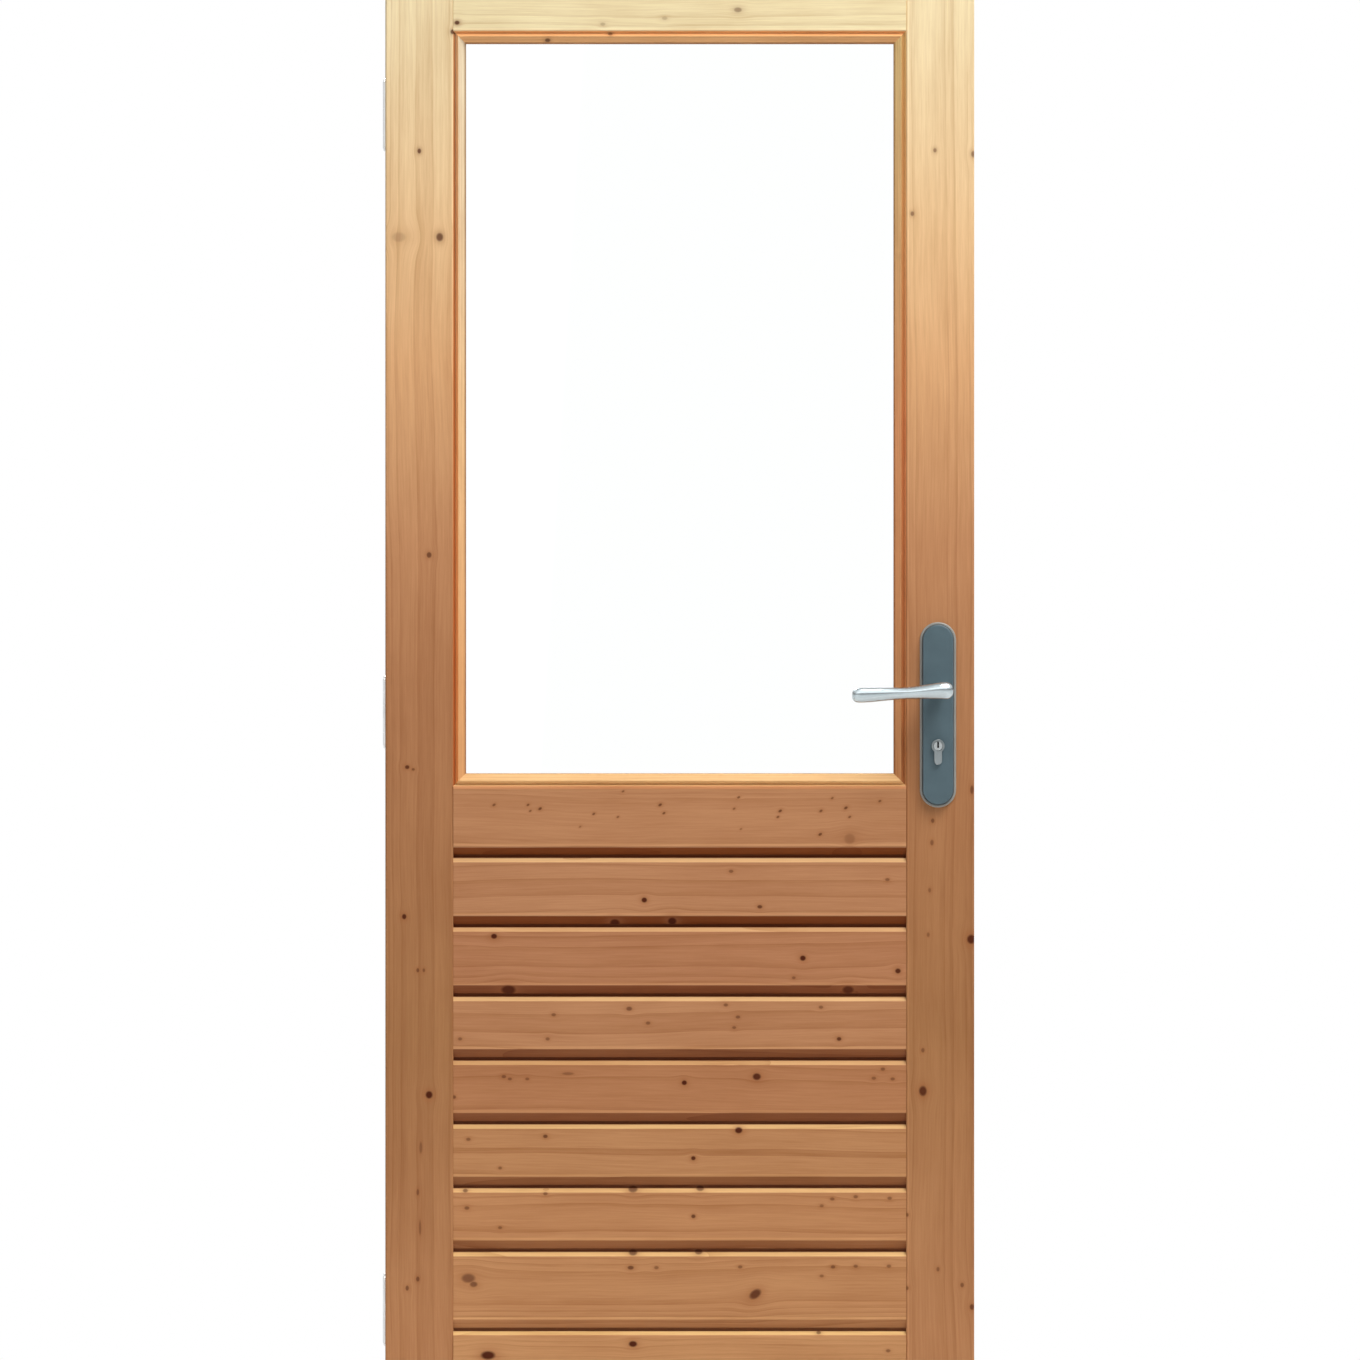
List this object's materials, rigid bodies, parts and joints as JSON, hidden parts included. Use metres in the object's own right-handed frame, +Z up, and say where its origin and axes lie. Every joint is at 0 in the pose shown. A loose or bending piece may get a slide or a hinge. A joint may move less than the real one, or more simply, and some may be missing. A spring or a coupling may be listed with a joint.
{
  "type": "back door",
  "caption": "Inward-opening wooden back door leaf with a clear glass upper half, V-jointed boards below, butt hinges, a lever handle set on long plates and a euro cylinder lock.",
  "frame": {"origin": "on the back face of the bottom hinge's frame leaf, where it lies on the door frame, at the hinge's mid height and in the middle of the leaf's thickness", "axes": "+X from the hinge side across the leaf to the lock side, +Y from the outside of the leaf towards the inside of the house, +Z up"},
  "size_m": [0.7841, 0.1554, 2.015],
  "materials": {
    "spruce": "satin",
    "pane": "polished",
    "plate_metal": "satin",
    "lever_metal": "satin",
    "cylinder_metal": "satin",
    "hinge_steel": "satin",
    "lock_steel": "satin"
  },
  "bodies": {
    "frame_side": {"bottom_hinge_frame_leaf": "hinge_steel", "middle_hinge_frame_leaf": "hinge_steel", "top_hinge_frame_leaf": "hinge_steel", "bottom_hinge_pin": "hinge_steel", "middle_hinge_pin": "hinge_steel", "top_hinge_pin": "hinge_steel"},
    "door_leaf": {"hinge_stile": "spruce", "lock_stile": "spruce", "top_rail": "spruce", "middle_rail": "spruce", "bottom_rail": "spruce", "board_1": "spruce", "board_2": "spruce", "board_3": "spruce", "board_4": "spruce", "board_5": "spruce", "board_6": "spruce", "board_7": "spruce", "top_bead": "spruce", "bottom_bead": "spruce", "hinge_side_bead": "spruce", "lock_side_bead": "spruce", "glass_pane": "pane", "bottom_hinge_door_leaf": "hinge_steel", "middle_hinge_door_leaf": "hinge_steel", "top_hinge_door_leaf": "hinge_steel", "mortice_lock": "lock_steel", "latch_bolt": "lock_steel", "dead_bolt": "lock_steel", "outer_plate": "plate_metal", "inner_plate": "plate_metal", "lock_cylinder": "cylinder_metal", "inner_plug": "cylinder_metal"},
    "lever_set": {"outer_lever": "lever_metal", "inner_lever": "lever_metal", "spindle": "lock_steel"},
    "key_core": {"key_plug": "cylinder_metal"}
  },
  "joints": [
    {"name": "leaf_swing", "type": "hinge", "parent": "frame_side", "child": "door_leaf", "pos_m": [0.0029, 0.0265, 0], "axis": [0, 0, 1], "range_deg": [0, 110]},
    {"name": "lever_turn", "type": "hinge", "parent": "door_leaf", "child": "lever_set", "pos_m": [0.7335, 0, 0.82], "axis": [0, -1, 0], "range_deg": [0, 40], "stiffness_Nm_per_rad": 1.2, "springref_deg": -28.65},
    {"name": "key_turn", "type": "hinge", "parent": "door_leaf", "child": "key_core", "pos_m": [0.7335, 0, 0.748], "axis": [0, -1, 0], "continuous": true}
  ]
}
